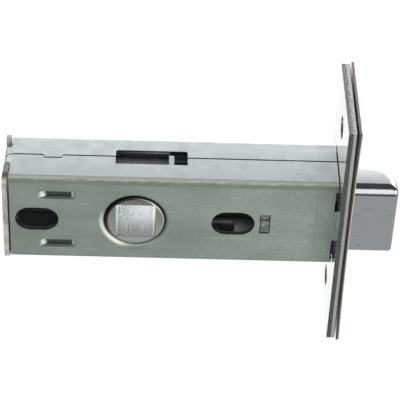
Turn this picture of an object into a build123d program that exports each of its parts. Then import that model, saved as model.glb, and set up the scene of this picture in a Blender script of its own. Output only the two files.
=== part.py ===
from build123d import *
import os
from math import cos, sin, tan, radians, hypot

# A tubular mortice latch with a 63 mm case, for a door that closes on a strike plate.
# The origin is on the spindle axis, at mid-thickness of the case.
# +X runs toward the door's edge and the latch bolt, +Y through the door, +Z up along the forend.
# All sizes are in millimetres.

# Case: two pressed steel shells that meet on a seam along the top and the bottom
backset = 41.3
case_length = 63.2
case_height = 20.2
case_thickness = 13.6
sheet = 1.0
case_bend_radius = 1.25

seam_y = 0.6
seam_gap = 0.36
jog_start = 6.1
jog_length = 4.0
jog_depth = 0.8
jog_slant = 0.35

window_rear_x = -4.0
window_front_x = 9.9
window_half_width = 2.1
window_centre_y = 0.45
window_corner_radius = 0.5

fixing_centres = 38.0
fixing_slot_length = 8.4
fixing_slot_width = 5.65

rim_radius = 0.95
rim_steps = 4
collar_wall = 1.0
collar_depth = 1.9

rib_start = 5.3
rib_length = 7.4
rib_width = 1.9
rib_depth = 0.85
rib_rear_ramp = 1.7
rib_front_ramp = 0.7
rib_side_slope = 0.35
rib_corner = 0.4
rib_height = 6.1

wall_notch_outer = 8.5
wall_notch_depth = 0.6
shoulder_gap = 0.15
tenon_half_height = 3.7
tenon_fit = 0.05

# Rear end plate, held in its notches by a tab of both shells at its top and its bottom
end_plate_thickness = 0.95
end_plate_gap = 0.05
end_plate_bow = 0.3
end_plate_overhang = 0.4
end_plate_corner = 2.0
tab_half_width = 2.8
tab_gap = 0.2
tab_leg = 2.4
tab_reach = 1.3
tab_root = 0.7
tab_bend_radius = 1.8

# Forends
forend_height = 52.0
forend_width = 22.0
inner_forend_thickness = 1.6
outer_forend_thickness = 0.7
outer_forend_overhang = 0.3
outer_forend_edge = 0.2
outer_forend_bow = 0.3
screw_centres = 38.0
screw_hole_diameter = 4.5
countersink_depth = 0.5
countersink_rise = 0.1

# Latch bolt
bolt_throw = 9.5
bolt_height = 16.0
bolt_thickness = 9.7
bolt_clearance = 0.15
bolt_nose_corner = 0.8
bolt_nose_round = 5.2
bolt_nose_flat_y = -2.4
bolt_nose_sweep = 80.0
bolt_top_round = 1.75
bolt_bottom_round = 0.45
bolt_tail_length = 3.0
bolt_shoulder = 0.85

# Spring and the plate it bears on
abutment_rear_x = 24.4
abutment_thickness = 1.6
abutment_tenon_half_height = 2.1
stake_gap = 0.18
stake_recess = 0.1
stake_groove_depth = 0.25
stake_groove_width = 0.3
stake_groove_z = 1.1
spring_outer_diameter = 5.0
spring_wire = 0.8
spring_coils = 6
spring_coil_steps = 14
spring_bore_clearance = 0.3
spring_bore_end = 5.3
spring_end_gap = 0.05
spring_y = -0.8

# Pull strips between the follower and the bolt
strip_thickness = 1.1
strip_gap_outside = 1.05
strip_half_width = 2.8
strip_rear_x = -14.0
strip_window_half_width = 1.7
strip_window_front_x = 19.7
ear_length = 5.0
ear_clearance = 0.6
lug_face_x = 7.4
lug_half_width = 1.5
lug_inner_bend = 0.4
lug_top_below_case = 0.25
lug_top_round = 0.45
hook_depth = 1.9
hook_clearance = 0.1
hook_half_width = 2.0

# Follower
spindle_square = 8.0
spindle_corner = 0.6
boss_clearance = 0.3
boss_edge = 0.18
boss_recess = 0.05
barrel_end_clearance = 0.25
barrel_strip_clearance = 0.3
arm_radius = 9.6
arm_thickness = 1.8
arm_root_thickness = 2.8
arm_half_width = 1.4
arm_tip_round = 0.35
arm_rest_angle = 43.0

# Levels that several pieces share
half_y = case_thickness / 2
half_z = case_height / 2
inner_y = half_y - sheet
inner_z = half_z - sheet
case_front_x = backset - outer_forend_thickness - inner_forend_thickness
case_rear_x = case_front_x - case_length
forend_back_x = backset - outer_forend_thickness
fixing_x = fixing_centres / 2
screw_z = screw_centres / 2

boss_radius = hypot(spindle_square, spindle_square) / 2
bore_radius = boss_radius + boss_clearance
rim_outer_radius = bore_radius + rim_radius
collar_end_y = half_y - collar_depth

strip_outer_z = inner_z - strip_gap_outside
strip_inner_z = strip_outer_z - strip_thickness
barrel_radius = strip_inner_z - barrel_strip_clearance
barrel_half_length = collar_end_y - barrel_end_clearance

tail_front_x = case_front_x - tenon_fit
tail_rear_x = tail_front_x - bolt_tail_length
bolt_nose_x = backset + bolt_throw
spring_bore_radius = spring_outer_diameter / 2 + spring_bore_clearance
spring_bore_x = bolt_nose_x - spring_bore_end
abutment_front_x = abutment_rear_x + abutment_thickness

both_ends = (-1, 1)

# How far a cut runs past the faces that it opens
past = 1.0


def block(x0, x1, y0, y1, z0, z1):
    """A box given by its two opposite corners."""
    return Pos((x0 + x1) / 2, (y0 + y1) / 2, (z0 + z1) / 2) * Box(x1 - x0, y1 - y0, z1 - z0)


def along_x(profile, x0, x1):
    """A profile drawn in Y and Z, carried from x0 to x1."""
    return extrude(Plane.YZ.offset(x0) * profile, amount=x1 - x0)


def along_y(profile, y0, y1):
    """A profile drawn in X and Z, carried from y0 to y1."""
    return extrude(Plane.XZ.offset(-y0) * profile, amount=y0 - y1)


def along_z(profile, z0, z1):
    """A profile drawn in X and Y, carried from z0 to z1."""
    return extrude(Plane.XY.offset(z0) * profile, amount=z1 - z0)


def both_walls(piece):
    """The same form on the front wall and on the back wall."""
    return piece + mirror(piece, about=Plane.XZ)


def both_edges(piece):
    """The same form on the top and on the bottom."""
    return piece + mirror(piece, about=Plane.XY)


# Case
def seam_region(shift):
    """Everything on the front side of the seam, with the seam moved along Y by shift."""
    far = 4 * case_thickness
    x0 = case_rear_x - far
    x1 = case_front_x + far
    y = seam_y + shift
    jog_x = case_rear_x + jog_start
    outline = Polyline(
        (x0, -far),
        (x1, -far),
        (x1, y),
        (jog_x + jog_length, y),
        (jog_x + jog_length - jog_slant, y - jog_depth),
        (jog_x + jog_slant, y - jog_depth),
        (jog_x, y),
        (x0, y),
        close=True,
    )
    return along_z(make_face(outline), -far, far)


def blunt_bar(length, width):
    """A bar's outline with its corners cut off."""
    outline = Rectangle(length, width)
    return chamfer(outline.vertices(), rib_corner)


def rib(y_face):
    """One rib's form from the plane y_face inward: steep sides, a long rear ramp and a short front one."""
    rear_x = case_rear_x + rib_start
    floor_length = rib_length - rib_rear_ramp - rib_front_ramp
    mouth = Pos(rear_x + rib_length / 2, rib_height) * blunt_bar(rib_length, rib_width)
    floor = Pos(rear_x + rib_rear_ramp + floor_length / 2, rib_height) * blunt_bar(
        floor_length, rib_width - 2 * rib_side_slope)
    return loft([Plane.XZ.offset(-y_face) * mouth, Plane.XZ.offset(-y_face - rib_depth) * floor], ruled=True)


def follower_collar():
    """The drawn rim round the follower's hole, turned inward in short slopes into a collar."""
    r0 = bore_radius
    r1 = bore_radius + collar_wall
    r2 = rim_outer_radius + sheet / 2
    slopes = []
    for step in range(rim_steps + 1):
        turn = radians(90 * step / rim_steps)
        slopes.append((rim_outer_radius - rim_radius * sin(turn), -half_y + rim_radius * (1 - cos(turn))))
    outline = Polyline(*slopes, (r0, -collar_end_y), (r1, -collar_end_y), (r1, -inner_y),
                       (r2, -inner_y), (r2, -half_y), close=True)
    return revolve(make_face(outline), axis=Axis.Y)


def tab():
    """The top tab: it bends down out of the top wall into the end plate's notch."""
    root_x = case_rear_x + tab_root
    leg_rear_x = case_rear_x - tab_reach
    leg_front_x = leg_rear_x + sheet
    outline = Polyline(
        (root_x, half_z),
        (leg_rear_x, half_z),
        (leg_rear_x, half_z - tab_leg),
        (leg_front_x, half_z - tab_leg),
        (leg_front_x, inner_z),
        (root_x, inner_z),
        close=True,
    )
    profile = make_face(outline)
    for corner_x, corner_z, radius in ((leg_rear_x, half_z, tab_bend_radius),
                                       (leg_front_x, inner_z, tab_bend_radius - sheet)):
        corner = profile.vertices().sort_by_distance((corner_x, corner_z, 0))[0]
        profile = fillet(corner, radius)
    return along_y(profile, seam_y - tab_half_width, seam_y + tab_half_width)


def case_tube():
    """Both shells together, before the seam parts them."""
    outer = RectangleRounded(case_thickness, case_height, case_bend_radius)
    inner = Rectangle(2 * inner_y, 2 * inner_z)
    tube = along_x(outer - inner, case_rear_x, case_front_x - shoulder_gap)

    window_length = window_front_x - window_rear_x
    window_x = (window_rear_x + window_front_x) / 2
    window = Rectangle(window_length, 2 * window_half_width)
    far_corners = window.vertices().group_by(Axis.Y)[-1]
    window = Pos(window_x, window_centre_y) * fillet(far_corners, window_corner_radius)
    tube -= along_z(window, -case_height, case_height)

    slot = SlotOverall(fixing_slot_length, fixing_slot_width)
    for end in both_ends:
        tube -= along_y(Pos(end * fixing_x, 0) * slot, -case_thickness, case_thickness)

    tube -= along_y(Circle(rim_outer_radius + sheet / 4), -case_thickness, case_thickness)
    tube += both_walls(follower_collar())

    bumps = both_walls(both_edges(rib(-inner_y)))
    dents = both_walls(both_edges(rib(-half_y)))
    tube = tube + bumps - dents

    hole_z = abutment_tenon_half_height + stake_gap
    tube -= block(abutment_rear_x - stake_gap, abutment_front_x + stake_gap,
                  -case_thickness, case_thickness, -hole_z, hole_z)

    notch = block(case_front_x - wall_notch_depth, case_front_x + sheet, -case_thickness, case_thickness,
                  tenon_half_height, wall_notch_outer)
    tube -= both_edges(notch)
    tube += both_walls(block(case_front_x - wall_notch_depth, forend_back_x, -half_y, -inner_y,
                             -tenon_half_height, tenon_half_height))

    tube -= block(case_rear_x - past, case_rear_x + tab_root,
                  seam_y - tab_half_width, seam_y + tab_half_width, -case_height, case_height)
    return tube + both_edges(tab())


def rear_end_plate():
    """The plate that closes the rear: its long edges bow away from the case, and tabs pass its notches."""
    height = case_height + 2 * end_plate_overhang
    width = case_thickness + 2 * end_plate_overhang
    front_x = case_rear_x - end_plate_gap
    rear_x = front_x - end_plate_thickness
    side_y = width / 2
    with BuildSketch(Plane.XY) as section:
        with BuildLine():
            ThreePointArc((front_x - end_plate_bow, -side_y), (front_x, 0), (front_x - end_plate_bow, side_y))
            Line((front_x - end_plate_bow, side_y), (rear_x - end_plate_bow, side_y))
            ThreePointArc((rear_x - end_plate_bow, side_y), (rear_x, 0), (rear_x - end_plate_bow, -side_y))
            Line((rear_x - end_plate_bow, -side_y), (front_x - end_plate_bow, -side_y))
        make_face()
    plate = extrude(section.sketch, amount=height, both=True)
    plate &= along_x(RectangleRounded(width, height, end_plate_corner), rear_x - past, case_rear_x)
    half = tab_half_width + tab_gap
    floor_z = half_z - tab_leg - tab_gap
    return plate - both_edges(block(rear_x - past, case_rear_x + past, seam_y - half, seam_y + half,
                                    floor_z, case_height))


# Forends
def bolt_aperture():
    """The opening that the bolt slides through, in both forends."""
    return Rectangle(bolt_thickness + 2 * bolt_clearance, bolt_height + 2 * bolt_clearance)


def screw_holes(diameter):
    """The two wood-screw holes of a forend, as discs in Y and Z."""
    return [Pos(0, end * screw_z) * Circle(diameter / 2) for end in both_ends]


def inner_forend():
    """The thick structural forend that the case walls are riveted into."""
    face = Rectangle(forend_width, forend_height) - bolt_aperture()
    for hole in screw_holes(screw_hole_diameter):
        face -= hole
    plate = along_x(face, case_front_x, forend_back_x)
    slot = block(case_front_x - past, forend_back_x + past, -half_y - tenon_fit, -inner_y + tenon_fit,
                 -tenon_half_height - tenon_fit, tenon_half_height + tenon_fit)
    return plate - both_walls(slot)


def outer_forend():
    """The thin finished plate over the inner forend: it bows a little away from it toward its ends."""
    half_width = forend_width / 2 + outer_forend_overhang
    end_z = forend_height / 2 + outer_forend_overhang
    end_back_x = forend_back_x + outer_forend_bow
    end_face_x = backset + outer_forend_bow
    with BuildSketch(Plane.XZ) as section:
        with BuildLine():
            ThreePointArc((end_back_x, -end_z), (forend_back_x, 0), (end_back_x, end_z))
            Line((end_back_x, end_z), (end_face_x, end_z))
            ThreePointArc((end_face_x, end_z), (backset, 0), (end_face_x, -end_z))
            Line((end_face_x, -end_z), (end_back_x, -end_z))
        make_face()
    plate = extrude(section.sketch, amount=half_width, both=True)
    bowed_faces = plate.faces().filter_by(GeomType.CYLINDER).sort_by(Axis.X)
    plate = chamfer(bowed_faces[-1].edges(), outer_forend_edge)
    plate -= along_x(bolt_aperture(), forend_back_x - past, backset + past)
    for hole in screw_holes(screw_hole_diameter):
        plate -= along_x(hole, forend_back_x - past, backset + past)
    sink_radius = screw_hole_diameter / 2
    sink_x = backset + outer_forend_bow * (screw_z / end_z) ** 2
    sink_height = countersink_depth + countersink_rise
    for end in both_ends:
        sink = Cone(sink_radius, sink_radius + sink_height, sink_height)
        plate -= Pos(sink_x - countersink_depth + sink_height / 2, 0, end * screw_z) * Rot(0, 90, 0) * sink
    return plate


# Latch bolt
def bolt_head_profile():
    """The head seen from above: flat front, blunt nose, and a long bevel on the far side."""
    front_y = -bolt_thickness / 2
    round_x = bolt_nose_x - bolt_nose_round
    sweep = radians(bolt_nose_sweep)
    ramp_x = round_x + bolt_nose_round * cos(sweep)
    ramp_y = bolt_nose_flat_y + bolt_nose_round * sin(sweep)
    root_y = ramp_y + (ramp_x - tail_front_x) / tan(sweep)
    with BuildSketch(Plane.XY) as section:
        with BuildLine():
            Polyline((tail_front_x, root_y), (tail_front_x, front_y),
                     (bolt_nose_x - bolt_nose_corner, front_y))
            CenterArc((bolt_nose_x - bolt_nose_corner, front_y + bolt_nose_corner), bolt_nose_corner, -90, 90)
            Line((bolt_nose_x, front_y + bolt_nose_corner), (bolt_nose_x, bolt_nose_flat_y))
            CenterArc((round_x, bolt_nose_flat_y), bolt_nose_round, 0, bolt_nose_sweep)
            Line((ramp_x, ramp_y), (tail_front_x, root_y))
        make_face()
    return section.sketch


def rounded_long_edge(piece, z, radius):
    """The piece with its long front edge at height z rounded."""
    edges = piece.edges().filter_by(Axis.X)
    front = edges.sort_by_distance((bolt_nose_x - bolt_throw / 2, -bolt_thickness / 2, z))[0]
    return fillet(front, radius)


def latch_bolt():
    """The hollow bolt: its head, and a wider tail that stops against the inner forend."""
    half = bolt_height / 2
    head = along_z(bolt_head_profile(), -half, half)
    head = rounded_long_edge(head, half, bolt_top_round)
    head = rounded_long_edge(head, -half, bolt_bottom_round)

    tail_y = bolt_thickness / 2 + bolt_shoulder / 2
    tail_z = half + bolt_shoulder
    tail = block(tail_rear_x, tail_front_x, -tail_y, tail_y, -tail_z, tail_z)
    bolt = head + tail

    bore = along_x(Pos(spring_y, 0) * Circle(spring_bore_radius), tail_rear_x - past, spring_bore_x)
    bolt -= bore

    gap = hook_clearance
    hook_front_x = tail_front_x - strip_thickness / 2
    side = strip_half_width + gap
    channel = block(tail_rear_x - past, hook_front_x + gap, -side, side, strip_inner_z - gap, case_height)
    pocket = block(hook_front_x - strip_thickness - gap, hook_front_x + gap, -side, side,
                   strip_inner_z - hook_depth - gap, case_height)
    return bolt - both_edges(channel + pocket)


# Spring
def abutment_plate():
    """The plate across the case that the spring bears on, staked through both walls."""
    height = strip_inner_z - hook_clearance
    web = block(abutment_rear_x, abutment_front_x, -inner_y, inner_y, -height, height)
    end_y = half_y - stake_recess
    tenon = block(abutment_rear_x, abutment_front_x, -end_y, end_y,
                  -abutment_tenon_half_height, abutment_tenon_half_height)
    groove_half = stake_groove_width / 2
    groove = block(abutment_rear_x, abutment_front_x, -end_y, -end_y + stake_groove_depth,
                   stake_groove_z - groove_half, stake_groove_z + groove_half)
    return web + tenon - both_walls(groove)


def latch_spring():
    """A compression spring between the abutment plate and the end of the bolt's bore."""
    radius = (spring_outer_diameter - spring_wire) / 2
    x0 = abutment_front_x + spring_wire / 2 + spring_end_gap
    x1 = spring_bore_x - spring_wire / 2 - spring_end_gap
    pitch = (x1 - x0) / spring_coils
    path = Helix(pitch=pitch, height=x1 - x0, radius=radius)
    steps = spring_coils * spring_coil_steps
    wire = RegularPolygon(spring_wire / 2, 4)
    sections = []
    for step in range(steps + 1):
        centre = path @ (step / steps)
        outward = Vector(centre.X, centre.Y, 0)
        sections.append(Plane(origin=centre, x_dir=outward, z_dir=path % (step / steps)) * wire)
    coil = loft(sections, ruled=True)
    return Pos(x0, spring_y, 0) * Rot(0, 90, 0) * coil


# Pull strips
def pull_strip():
    """The top strip: guided by ears at its rear, pulled by its lug, hooked into the bolt."""
    hook_front_x = tail_front_x - strip_thickness / 2
    ear_half_width = inner_y - ear_clearance
    bend_outer = lug_inner_bend + strip_thickness
    bend_x = lug_face_x - bend_outer
    bend_z = strip_inner_z + bend_outer

    length = hook_front_x - strip_rear_x
    plan = Pos(strip_rear_x + length / 2, 0) * Rectangle(length, 2 * strip_half_width)
    plan += Pos(strip_rear_x + ear_length / 2, 0) * Rectangle(ear_length, 2 * ear_half_width)
    opening = strip_window_front_x - bend_x
    plan -= Pos(bend_x + opening / 2, 0) * Rectangle(opening, 2 * strip_window_half_width)
    strip = along_z(plan, strip_inner_z, strip_outer_z)

    lug_top = half_z - lug_top_below_case
    with BuildSketch(Plane.XZ) as section:
        with BuildLine():
            Line((bend_x, strip_outer_z), (bend_x, strip_inner_z))
            CenterArc((bend_x, bend_z), bend_outer, -90, 90)
            Polyline((lug_face_x, bend_z), (lug_face_x, lug_top), (lug_face_x - strip_thickness, lug_top),
                     (lug_face_x - strip_thickness, bend_z))
            CenterArc((bend_x, bend_z), lug_inner_bend, 0, -90)
        make_face()
    lug = extrude(section.sketch, amount=lug_half_width, both=True)
    crown = lug.edges().filter_by(Axis.Y).sort_by_distance((lug_face_x, 0, lug_top))[0]
    strip += fillet(crown, lug_top_round)

    hook = block(hook_front_x - strip_thickness, hook_front_x, -hook_half_width, hook_half_width,
                 strip_inner_z - hook_depth, strip_outer_z)
    return strip + hook


# Follower
def follower_arm():
    """The upper arm: its left face is radial at rest, its tip is on a circle about the spindle."""
    root = barrel_radius / 2
    outline = Polyline(
        (root, 0),
        (2 * arm_radius, 0),
        (2 * arm_radius, -arm_thickness),
        (arm_radius, -arm_thickness),
        (root, -arm_root_thickness),
        close=True,
    )
    profile = make_face(outline) & Circle(arm_radius)
    tips = profile.vertices().sort_by(Axis.X)[-2:]
    profile = fillet(tips, arm_tip_round)
    return along_y(Rot(0, 0, arm_rest_angle) * profile, -arm_half_width, arm_half_width)


def follower():
    """The cast hub that the spindle turns, with an arm for each pull strip."""
    barrel = along_y(Circle(barrel_radius), -barrel_half_length, barrel_half_length)
    boss_end = half_y - boss_recess
    boss = along_y(Circle(boss_radius), -boss_end, boss_end)
    rims = boss.edges().filter_by(GeomType.CIRCLE)
    hub = barrel + chamfer(rims, boss_edge) + both_edges(follower_arm())
    square = RectangleRounded(spindle_square, spindle_square, spindle_corner)
    return hub - along_y(square, -case_thickness, case_thickness)


def build_nodes():
    """Every piece of the latch, by its node's name."""
    tube = case_tube()
    upper_strip = pull_strip()
    return {
        "front_case_shell": tube & seam_region(-seam_gap / 2),
        "back_case_shell": tube - seam_region(seam_gap / 2),
        "rear_end_plate": rear_end_plate(),
        "inner_forend": inner_forend(),
        "outer_forend": outer_forend(),
        "spring_abutment_plate": abutment_plate(),
        "latch_spring": latch_spring(),
        "latch_bolt": latch_bolt(),
        "upper_pull_strip": upper_strip,
        "lower_pull_strip": mirror(upper_strip, about=Plane.XY),
        "follower": follower(),
    }


os.makedirs("parts", exist_ok=True)
for name, shape in build_nodes().items():
    export_step(shape, f"parts/{name}.step")
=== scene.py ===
"""Looks of a tubular mortice door latch, dressed over its fixed CAD frame.

Lengths here are in metres unless a name ends in mm. +X runs toward the latch bolt, +Y away from
the photograph's camera, +Z up along the forend.
"""

import math

import bpy
import numpy as np
from mathutils import Matrix, Vector


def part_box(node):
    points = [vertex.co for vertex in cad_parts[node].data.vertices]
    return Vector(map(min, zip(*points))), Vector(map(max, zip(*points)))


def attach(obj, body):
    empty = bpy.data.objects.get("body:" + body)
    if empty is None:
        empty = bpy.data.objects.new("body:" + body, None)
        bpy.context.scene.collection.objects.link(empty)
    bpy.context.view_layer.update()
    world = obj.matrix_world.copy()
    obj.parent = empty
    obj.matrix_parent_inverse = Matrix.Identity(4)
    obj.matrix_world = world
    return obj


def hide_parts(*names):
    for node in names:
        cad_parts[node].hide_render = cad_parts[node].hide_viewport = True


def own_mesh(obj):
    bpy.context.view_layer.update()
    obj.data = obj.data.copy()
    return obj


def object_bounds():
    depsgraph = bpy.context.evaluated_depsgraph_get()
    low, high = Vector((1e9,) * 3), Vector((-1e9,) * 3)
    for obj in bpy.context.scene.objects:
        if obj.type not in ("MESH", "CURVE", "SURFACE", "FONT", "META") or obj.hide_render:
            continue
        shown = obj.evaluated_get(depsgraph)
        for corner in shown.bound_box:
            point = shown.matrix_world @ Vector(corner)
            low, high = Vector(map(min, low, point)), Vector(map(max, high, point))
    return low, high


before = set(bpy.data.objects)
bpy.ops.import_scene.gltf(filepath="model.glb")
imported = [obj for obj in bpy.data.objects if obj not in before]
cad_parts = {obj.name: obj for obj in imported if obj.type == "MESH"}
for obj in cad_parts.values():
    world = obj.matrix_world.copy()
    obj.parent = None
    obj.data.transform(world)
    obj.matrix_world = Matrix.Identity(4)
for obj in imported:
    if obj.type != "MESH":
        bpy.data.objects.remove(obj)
cad_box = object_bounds()

bl_info = {
    "name": "Tubular Latch Looks",
    "version": (1, 0, 0),
    "blender": (4, 5, 0),
    "location": "View3D > Sidebar > Latch",
    "description": "Dresses a box-cased tubular door latch in its real metals",
    "category": "Material",
}

MM = 0.001

# The case's outer bend radius and the thickness of its sheet
BEND_RADIUS = 1.25 * MM
SHEET = 1.0 * MM

# Radii from the spindle: the collar pressed round the follower, and the painted highlights and
# darker band on it
COLLAR_RADIUS = 7.2 * MM
COLLAR_BORE = 6.0 * MM
COLLAR_RIM = (5.9 * MM, 7.12 * MM)
COLLAR_LOWER_BAND = (6.0 * MM, 7.6 * MM)
BOSS_RING = (5.46 * MM, 5.64 * MM)

# Directions from the spindle, as seen on the front wall
LOWER_REAR = (-0.87, 0.0, -0.5)
DOWNWARD = (0.0, 0.0, -1.0)
UPPER_FRONT = (0.88, 0.0, 0.47)
UPPER_REAR = (-0.75, 0.0, 0.66)

# The ribs pressed into the walls: heights from the middle, and distances from the rear plate
RIB_HEIGHTS = (5.0 * MM, 7.2 * MM)
RAMP_HEIGHTS = (5.2 * MM, 6.9 * MM)
RIB_FLOOR = (6.9 * MM, 12.1 * MM)
REAR_RAMP = (5.3 * MM, 7.1 * MM)
FRONT_RAMP = (11.9 * MM, 12.9 * MM)
RIBS_END = 13.0 * MM

# Other marks: the scribed line, the staked tenon, the strips' span of painted light, the square
# hole, and
# the screw holes across the forend and along its height
SCRIBE_X = 35.1 * MM
SCRIBE_REACH = 6.5 * MM
TENON_REACH = 2.35 * MM
STRIP_LIT_SPAN = (-8.0 * MM, 19.7 * MM)
HALF_SQUARE = 4.0 * MM
SCREW_HOLE_WIDTH = (-2.5 * MM, 2.5 * MM)
SCREW_HOLE_HEIGHTS = (16.5 * MM, 21.5 * MM)

# The photograph's camera, fitted to the corners of the case, the slots and the forend
CAMERA_TARGET_MM = (12.63, 0.0, 0.08)
CAMERA_DISTANCE_MM = 356.2
CAMERA_PITCH = 40.05
CAMERA_YAW = -2.0
CAMERA_ROLL = 2.73
CAMERA_FOCAL_PX = 1810.4
PHOTO_PX = 400
SENSOR_MM = 36.0

# The lamps aim at LAMP_AIM. Each back strip has an elevation in degrees, a height and its watts
LAMP_AIM = (0.012, 0.0, 0.0)
BACK_WIDTH = 1.80
BACK_STRIPS = ((43.2, 0.028, 0.46), (45.5, 0.031, 0.33), (48.8, 0.048, 0.34))
STRIP_DISTANCE = 0.68
FLOOR_HALF = 6.0


def linear(hex_colour):
    """An sRGB hex colour as linear RGBA: the piecewise sRGB curve, undone for each channel."""
    value = hex_colour.lstrip("#")
    rgb = [int(value[i:i + 2], 16) / 255 for i in (0, 2, 4)]
    return tuple(c / 12.92 if c <= 0.04045 else ((c + 0.055) / 1.055) ** 2.4 for c in rgb) + (1.0,)


def per_size(millimetres):
    """The scale that makes a noise pattern repeat about once in that many real millimetres."""
    return 1.0 / (millimetres * MM)


def colour_property(name, description, hex_colour):
    return bpy.props.FloatVectorProperty(
        name=name, description=description, default=linear(hex_colour), subtype="COLOR", size=4,
        min=0.0, max=1.0)


def length_property(name, description, metres):
    return bpy.props.FloatProperty(
        name=name, description=description, default=metres, min=0.0, unit="LENGTH", precision=5)


def factor_property(name, description, value):
    return bpy.props.FloatProperty(
        name=name, description=description, default=value, min=0.0, max=1.0, subtype="FACTOR")


class LatchColours(bpy.types.PropertyGroup):
    """Colours of the latch's metals."""
    zinc_pale: colour_property("Zinc, pale", "Pale patches of the zinc plating", "#838D86")
    zinc_deep: colour_property("Zinc, deep", "Deeper patches of the zinc plating", "#737D76")
    # Painted light: the paler grey of the top and bottom walls
    zinc_top_light: colour_property("Zinc, rubbed", "Rubbed top and bottom walls", "#8C9091")
    # Painted light: the palest tone of the top walls, also the painted highlight line on the
    # window's far cut edge
    zinc_highlight: colour_property("Zinc, bare", "Palest tone of the rubbed walls", "#A4A8A9")
    # Painted highlight band on the upper bends, also pale wear toward the forend and on the staked
    # tenon
    pale_wear_and_highlight: colour_property("Fold, worn", "Pale wear along the upper bends", "#CCCFC2")
    # Painted shade band below the upper bends, also dull patches on the staked tenon and the
    # collar's bottom
    dull_wear_and_shade: colour_property("Fold, dull", "Dull line that the press brake leaves", "#5C6359")
    # Painted highlight on the collar's rim and on the boss's edge
    rim_highlight: colour_property("Rim", "Polished rim round the follower's hole", "#C0C1B5")
    zinc_speck: colour_property("Zinc specks", "Fine dark specks in the plating", "#4C5250")
    # Painted shade on cut edges, in the collar's bore and at the follower's edge
    crevice_shade: colour_property("Cut edges", "Oily cut edges of slots and window", "#1F2224")
    # Painted highlight on the ribs' end ramps
    rib_ramp_highlight: colour_property("Rib ramps", "Bright ramps at a rib's ends", "#D9DED4")
    # Painted shade in the ribs' recessed floor
    rib_floor_shade: colour_property("Rib floor", "Dark oily floor of a pressed rib", "#40463F")
    case_inside: colour_property("Case inside", "Oiled steel inside the case", "#7A7E7D")
    end_plate: colour_property("End plate", "Stamped steel of the rear plate", "#ADAAA7")
    end_plate_dark: colour_property("End plate, dark", "Brown mottling on its face", "#847E78")
    forend_face: colour_property("Forend face", "Bright plating on the inner forend", "#ECEEED")
    forend_burnish: colour_property("Forend edge, sheared", "Burnished half of the edge", "#424542")
    cropped_dark: colour_property("Forend end, dark", "Cut half of the cropped ends", "#474746")
    cropped_pale: colour_property("Forend end, pale", "Torn half of the cropped ends", "#7C7C7E")
    forend_fracture: colour_property("Forend edge, broken", "Broken half of the edge", "#909593")
    plate_face: colour_property("Outer plate face", "Satin plating on the outer forend", "#B9B9B7")
    plate_edge: colour_property("Outer plate edge", "Dark edge of the outer forend", "#4A4038")
    plate_copper: colour_property("Outer plate copper", "Copper along the outer corner", "#8C6F5E")
    # Painted shade: dark lines at the forends' joint and the dark reflection band on the bolt
    shade_line: colour_property("Joint line", "Dark line where the two forends meet", "#141414")
    chrome: colour_property("Bolt chrome", "Bright chrome on the latch bolt", "#8D9090")
    bolt_tail: colour_property("Bolt tail", "Bare casting of the bolt's tail", "#2C2D2D")
    # Painted light on the near part of the strips' flats
    strip_lit: colour_property("Strip clean", "Strip plating wiped clean", "#E4E8E6")
    strip_lug: colour_property("Strip lugs", "Lugs where the follower's arms rub", "#868A88")
    strip: colour_property("Strip zinc", "Oiled plating on the pull strips", "#7F8381")
    casting: colour_property("Casting", "As-cast zinc of the follower", "#8F938E")
    # Painted shade on the upper part of the follower's face
    casting_shade: colour_property("Casting, dark", "Upper part of the follower's face", "#62655B")
    square_polish: colour_property("Square, polished", "Side that the spindle polishes", "#A1A6A4")
    square_grain: colour_property("Square grain", "Duller grains on its wall", "#6E7375")
    square_wall: colour_property("Square wall", "Bright grained wall of the hole", "#8E9292")
    wire: colour_property("Spring wire", "Drawn spring wire", "#6F706E")


class LatchSizes(bpy.types.PropertyGroup):
    """Sizes of the surface patterns and of the spring."""
    blotch: length_property("Blotch", "Width of a cloudy patch in the plating", 6.0 * MM)
    grain: length_property("Grain", "Spacing of the rolled sheet's fine grain", 0.35 * MM)
    cast_grain: length_property("Cast grain", "Width of a grain in the die casting", 0.45 * MM)
    spring_wire: length_property("Spring wire", "Diameter of the spring's wire", 0.8 * MM)
    spring_turns: bpy.props.FloatProperty(
        name="Spring turns", description="Turns of the latch spring", default=6.0, min=2.0)


class LatchStage(bpy.types.PropertyGroup):
    """The floor and the surrounding light."""
    floor_drop: length_property("Floor drop", "Height of the latch above the floor", 45.0 * MM)
    floor_colour: colour_property("Floor", "Plain pale floor", "#FFFFFF")
    floor_glow: factor_property("Floor glow", "Share of the floor that shows as plain white", 0.9)
    surround: factor_property("Surround", "Brightness of the surrounding light", 0.16)


def add(tree, kind, *inputs, **settings):
    """Adds one shader node with its settings and links, and gives the first output it has open.

    The inputs are values to set or sockets to link. They come in the order of the node's open
    inputs, or as one dict by name.
    """
    node = tree.nodes.new("ShaderNode" + kind)
    for name, value in settings.items():
        setattr(node, name, value)
    if inputs and isinstance(inputs[0], dict):
        pairs = [(node.inputs[name], value) for name, value in inputs[0].items()]
    else:
        pairs = zip([socket for socket in node.inputs if socket.enabled], inputs)
    for socket, value in pairs:
        if isinstance(value, bpy.types.NodeSocket):
            tree.links.new(value, socket)
        else:
            socket.default_value = value
    return next((socket for socket in node.outputs if socket.enabled), None)


def new_material(name):
    """An empty node material, its tree, and the socket of its Object coordinates."""
    material = bpy.data.materials.new(name)
    material.use_nodes = True
    tree = material.node_tree
    tree.nodes.clear()
    return material, tree, add(tree, "TexCoord").node.outputs["Object"]


def finished(material, inputs):
    """Gives a material its one shader. What is even all over stands on the shader's own sockets."""
    tree = material.node_tree
    add(tree, "OutputMaterial", add(tree, "BsdfPrincipled", inputs))
    return material


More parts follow.
